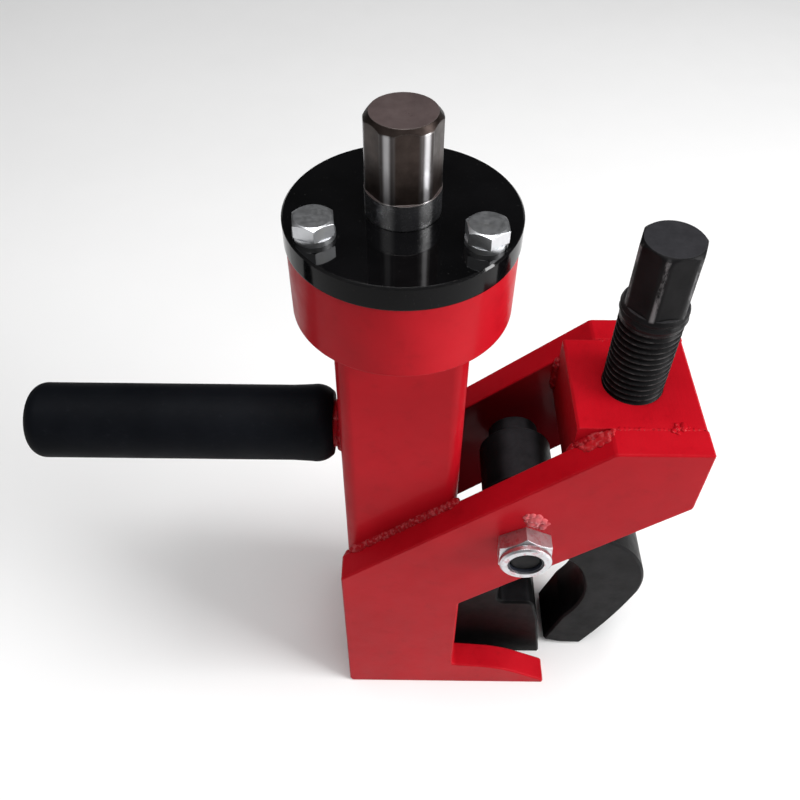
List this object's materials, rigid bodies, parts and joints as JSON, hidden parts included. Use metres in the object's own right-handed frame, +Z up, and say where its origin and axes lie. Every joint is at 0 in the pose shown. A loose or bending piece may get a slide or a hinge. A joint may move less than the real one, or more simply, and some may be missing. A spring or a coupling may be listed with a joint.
{
  "type": "bead breaker",
  "caption": "Screw-driven tyre bead breaker: a hexagon screw pushes a square ram and foot down a column while a clamp screw closes a swinging hook on the rim.",
  "frame": {"origin": "on the drive screw's axis, at the middle of the foot's pressing face, level with the bottom of the side plates", "axes": "+Z up along the drive screw, +X from the handle towards the hook, +Y towards the rear side plate"},
  "size_m": [0.3436, 0.1163, 0.3915],
  "materials": {
    "red_paint": "glossy red enamel over flame-cut and welded steel",
    "black_gloss": "gloss black enamel",
    "zinc_plate": "bright zinc plate",
    "screw_steel": "dark blackened flats with bare turned edges",
    "black_oxide": "satin black oxide and oil",
    "bright_steel": "ground bare steel",
    "bearing_steel": "polished bearing steel",
    "bronze": "machined bronze",
    "black_grip": "matt black moulded grip",
    "nylon": "dark nylon"
  },
  "bodies": {
    "frame": {"column_tube": "red_paint", "bearing_housing": "red_paint", "cap_plate": "black_gloss", "cap_washers": "zinc_plate", "cap_bolts": "zinc_plate", "guide_bush": "bronze", "thrust_race_upper": "bearing_steel", "side_plate_front": "red_paint", "side_plate_rear": "red_paint", "head_block": "red_paint", "pivot_bolt": "black_oxide", "pivot_nut": "zinc_plate", "nut_nylon_ring": "nylon", "pivot_washers": "black_oxide", "pivot_spacers": "black_oxide", "handle_rod": "red_paint", "handle_grip": "black_grip"},
    "drive": {"drive_screw": "screw_steel", "thrust_race_lower": "bearing_steel"},
    "ball_ring": {"thrust_balls": "bearing_steel", "thrust_cage": "bronze"},
    "ram": {"ram_bar": "bright_steel", "ram_nut": "bronze", "ram_foot": "black_oxide", "foot_screws": "black_oxide"},
    "pad": {"clamp_pad": "black_oxide"},
    "clamp": {"clamp_screw": "black_oxide"},
    "hook": {"hook_jaw": "black_oxide", "hook_bush": "bronze"}
  },
  "joints": [
    {"name": "drive_spin", "type": "hinge", "parent": "frame", "child": "drive", "pos_m": [0, 0, 0.35], "axis": [0, 0, 1], "range_deg": [0, 5040]},
    {"name": "ball_ring_spin", "type": "hinge", "parent": "frame", "child": "ball_ring", "pos_m": [0, 0, 0.3275], "axis": [0, 0, 1], "range_deg": [0, 2525]},
    {"name": "ram_travel", "type": "slide", "parent": "frame", "child": "ram", "axis": [0, 0, -1], "range_m": [0, 0.07]},
    {"name": "clamp_travel", "type": "slide", "parent": "frame", "child": "pad", "axis": [0, 0, 1], "range_m": [-0.00029, 0.01797]},
    {"name": "clamp_spin", "type": "hinge", "parent": "pad", "child": "clamp", "pos_m": [0.1138, 0, 0.25], "axis": [0, 0, 1], "range_deg": [-30, 1849]},
    {"name": "hook_swing", "type": "hinge", "parent": "frame", "child": "hook", "pos_m": [0.0647, 0, 0.1712], "axis": [0, -1, 0], "range_deg": [-0.6, 21.4]}
  ],
  "couplings": [
    {"joint": "drive_spin", "follows": "ram_travel", "rad_per_m": 1256.6},
    {"joint": "ball_ring_spin", "follows": "ram_travel", "rad_per_m": 628.32},
    {"joint": "clamp_spin", "follows": "clamp_travel", "rad_per_m": 1795.2},
    {"joint": "hook_swing", "follows": "clamp_travel", "rad_per_m": 20.284}
  ]
}
